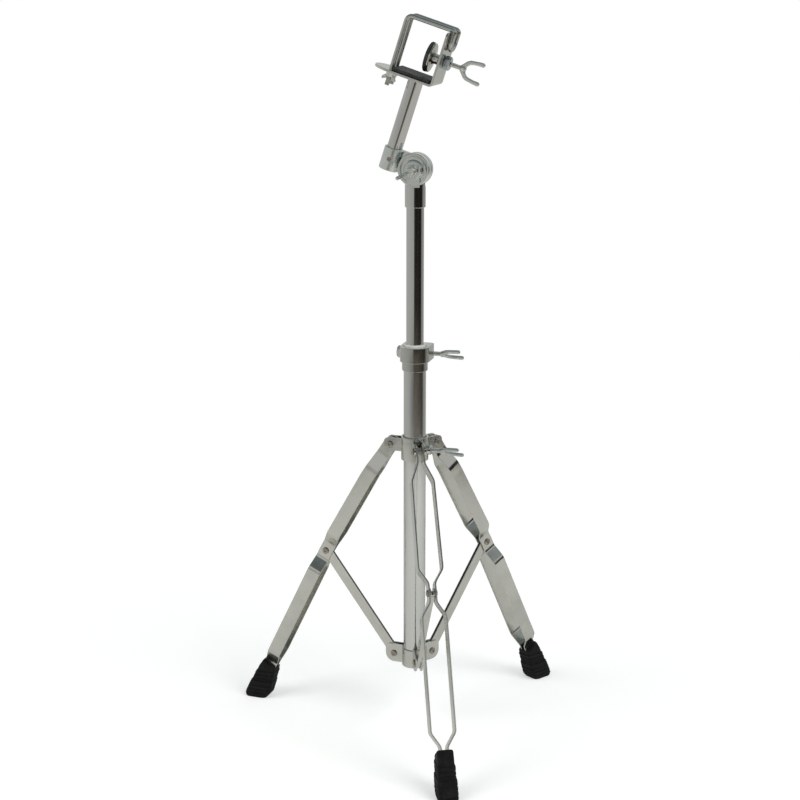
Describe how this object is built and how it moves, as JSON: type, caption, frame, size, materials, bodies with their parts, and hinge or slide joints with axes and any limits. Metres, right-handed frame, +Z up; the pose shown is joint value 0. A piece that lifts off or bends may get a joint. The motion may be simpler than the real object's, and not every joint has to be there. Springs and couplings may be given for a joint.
{
  "type": "bongo stand",
  "caption": "Folding braced tripod with a sliding, turning upper tube, a tilting arm and a screw clamp head that holds bongos by their centre block.",
  "frame": {"origin": "on the floor, below the middle of the whole stand's bounding box", "axes": "+Z up along the tubes, Y along the tilter's axis, the arm leans towards +X"},
  "size_m": [0.396, 0.4354, 0.9202],
  "materials": {
    "chrome": "polished chrome plate on steel",
    "cast_chrome": "chrome plate on castings, a little soft",
    "zinc": "bright zinc plate, satin",
    "rubber": "moulded matte rubber",
    "nylon": "plain nylon"
  },
  "bodies": {
    "base": {"lower_tube": "chrome", "lower_hub": "cast_chrome", "hub_rivet": "zinc", "front_brace_rivet": "zinc", "left_brace_rivet": "zinc", "right_brace_rivet": "zinc", "height_clamp": "cast_chrome", "height_clamp_nut": "zinc"},
    "brace_front": {"front_brace": "chrome"},
    "leg_front": {"front_strip_a": "chrome", "front_strip_b": "chrome", "front_foot": "rubber", "front_knee_rivet": "zinc", "front_foot_rivet": "zinc"},
    "hub": {"upper_hub": "cast_chrome", "front_hub_rivet": "zinc", "left_hub_rivet": "zinc", "right_hub_rivet": "zinc"},
    "leg_left": {"left_strip_a": "chrome", "left_strip_b": "chrome", "left_foot": "rubber", "left_knee_rivet": "zinc", "left_foot_rivet": "zinc"},
    "leg_right": {"right_strip_a": "chrome", "right_strip_b": "chrome", "right_foot": "rubber", "right_knee_rivet": "zinc", "right_foot_rivet": "zinc"},
    "brace_left": {"left_brace": "chrome"},
    "brace_right": {"right_brace": "chrome"},
    "leg_lock": {"leg_lock_screw": "zinc"},
    "height_screw": {"height_clamp_screw": "zinc"},
    "bush": {"tube_bush": "nylon"},
    "mast": {"upper_tube": "chrome", "tilter_base": "cast_chrome"},
    "tilter_bolt": {"tilter_screw": "zinc"},
    "arm": {"tilter_nut": "zinc", "tilter_arm": "cast_chrome", "arm_tube": "chrome", "arm_set_screw": "zinc", "head_bracket": "chrome", "seat_pad": "rubber", "hook_rod": "chrome", "clamp_nut": "zinc"},
    "near_nut": {"near_wing_nut": "zinc"},
    "far_nut": {"far_wing_nut": "zinc"},
    "pad": {"pressure_plate": "chrome", "pressure_pad": "rubber"},
    "head_screw": {"clamp_screw": "zinc"}
  },
  "joints": [
    {"name": "leg_fold", "type": "hinge", "parent": "base", "child": "brace_front", "pos_m": [0.05854, -0.01475, 0.0915], "axis": [-0.9063, -0.4226, 0], "range_deg": [0, 30]},
    {"name": "front_knee", "type": "hinge", "parent": "brace_front", "child": "leg_front", "pos_m": [0.09932, -0.10221, 0.2235], "axis": [-0.9063, -0.4226, 0], "range_deg": [-56.3, 0]},
    {"name": "front_leg_top", "type": "hinge", "parent": "leg_front", "child": "hub", "pos_m": [0.06044, -0.01883, 0.38], "axis": [-0.9063, -0.4226, 0], "range_deg": [0, 26.3]},
    {"name": "left_leg_top", "type": "hinge", "parent": "hub", "child": "leg_left", "pos_m": [0.01575, 0.01247, 0.38], "axis": [0.0872, 0.9962, 0], "range_deg": [-26.3, 0]},
    {"name": "right_leg_top", "type": "hinge", "parent": "hub", "child": "leg_right", "pos_m": [0.0652, 0.03552, 0.38], "axis": [0.8192, -0.5736, 0], "range_deg": [-26.3, 0]},
    {"name": "left_brace_foot", "type": "hinge", "parent": "base", "child": "brace_left", "pos_m": [0.02023, 0.01207, 0.0915], "axis": [0.0872, 0.9962, 0], "range_deg": [0, 30.1]},
    {"name": "right_brace_foot", "type": "hinge", "parent": "base", "child": "brace_right", "pos_m": [0.06262, 0.03184, 0.0915], "axis": [0.8192, -0.5736, 0], "range_deg": [0, 30.1]},
    {"name": "leg_lock_turn", "type": "hinge", "parent": "hub", "child": "leg_lock", "pos_m": [0.04713, 0.00972, 0.3755], "axis": [0.9962, -0.0872, 0], "continuous": true},
    {"name": "height_screw_turn", "type": "hinge", "parent": "base", "child": "height_screw", "pos_m": [0.04713, 0.03052, 0.4968], "axis": [1, 0, 0], "continuous": true},
    {"name": "tube_swivel", "type": "hinge", "parent": "base", "child": "bush", "pos_m": [0.04713, 0.00972, 0.495], "axis": [0, 0, 1], "continuous": true},
    {"name": "tube_height", "type": "slide", "parent": "bush", "child": "mast", "axis": [0, 0, 1], "range_m": [-0.173, 0.176]},
    {"name": "tilter_bolt_turn", "type": "hinge", "parent": "mast", "child": "tilter_bolt", "pos_m": [0.04713, 0.00972, 0.733], "axis": [0, -1, 0], "continuous": true},
    {"name": "arm_tilt", "type": "hinge", "parent": "mast", "child": "arm", "pos_m": [0.04713, 0.00972, 0.733], "axis": [0, 1, 0], "range_deg": [-35, 90]},
    {"name": "near_nut_turn", "type": "hinge", "parent": "arm", "child": "near_nut", "pos_m": [0.01861, -0.00028, 0.85174], "axis": [0.3107, 0, 0.9505], "continuous": true},
    {"name": "far_nut_turn", "type": "hinge", "parent": "arm", "child": "far_nut", "pos_m": [0.01861, 0.01972, 0.85174], "axis": [0.3107, 0, 0.9505], "continuous": true},
    {"name": "pad_travel", "type": "slide", "parent": "arm", "child": "pad", "axis": [-0.9505, 0, 0.3107], "range_m": [-0.0025, 0.012]},
    {"name": "clamp_screw_turn", "type": "hinge", "parent": "pad", "child": "head_screw", "pos_m": [0.0577, 0.00972, 0.87157], "axis": [-0.9505, 0, 0.3107], "range_deg": [-905, 4325]}
  ],
  "couplings": [
    {"joint": "front_knee", "follows": "leg_fold", "ratio": -1.8728},
    {"joint": "front_leg_top", "follows": "leg_fold", "ratio": 0.8728},
    {"joint": "left_leg_top", "follows": "leg_fold", "ratio": -0.8728},
    {"joint": "right_leg_top", "follows": "leg_fold", "ratio": -0.8728},
    {"joint": "left_brace_foot", "follows": "leg_fold", "ratio": 1},
    {"joint": "right_brace_foot", "follows": "leg_fold", "ratio": 1},
    {"joint": "clamp_screw_turn", "follows": "pad_travel", "rad_per_m": 6283.2}
  ]
}
